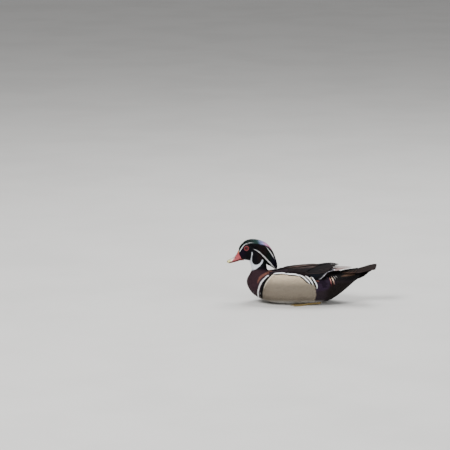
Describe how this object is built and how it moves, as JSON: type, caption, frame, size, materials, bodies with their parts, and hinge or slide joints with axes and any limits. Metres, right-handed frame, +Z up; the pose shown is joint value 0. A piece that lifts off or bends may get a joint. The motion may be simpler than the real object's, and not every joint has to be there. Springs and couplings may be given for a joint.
{
  "type": "wood duck drake, life-size still model",
  "caption": "Life-size still model of a drake wood duck afloat: drooping crest, short bill, folded wings, raised tail, legs tucked under a flat belly that rests on a table.",
  "frame": {"origin": "centre of the footprint, on the plane the belly and feet rest on", "axes": "+X from bill to tail, so the bird faces -X; +Y to its right side; +Z up"},
  "size_m": [0.4091, 0.1398, 0.1761],
  "materials": {
    "torso": "plumage",
    "neck": "plumage",
    "head": "glossy plumage",
    "crest": "glossy plumage",
    "bill_upper": "horn",
    "bill_lower": "horn",
    "tail": "plumage",
    "eye": "polished",
    "wing": "plumage",
    "leg": "scaled skin",
    "foot": "scaled skin"
  },
  "bodies": {
    "root": {"torso": "torso", "neck": "neck", "head": "head", "crest": "crest", "bill_upper": "bill_upper", "bill_lower": "bill_lower", "tail": "tail", "eye_left": "eye", "eye_right": "eye", "wing_left": "wing", "wing_right": "wing", "leg_left": "leg", "leg_right": "leg", "foot_left": "foot", "foot_right": "foot"}
  },
  "joints": []
}
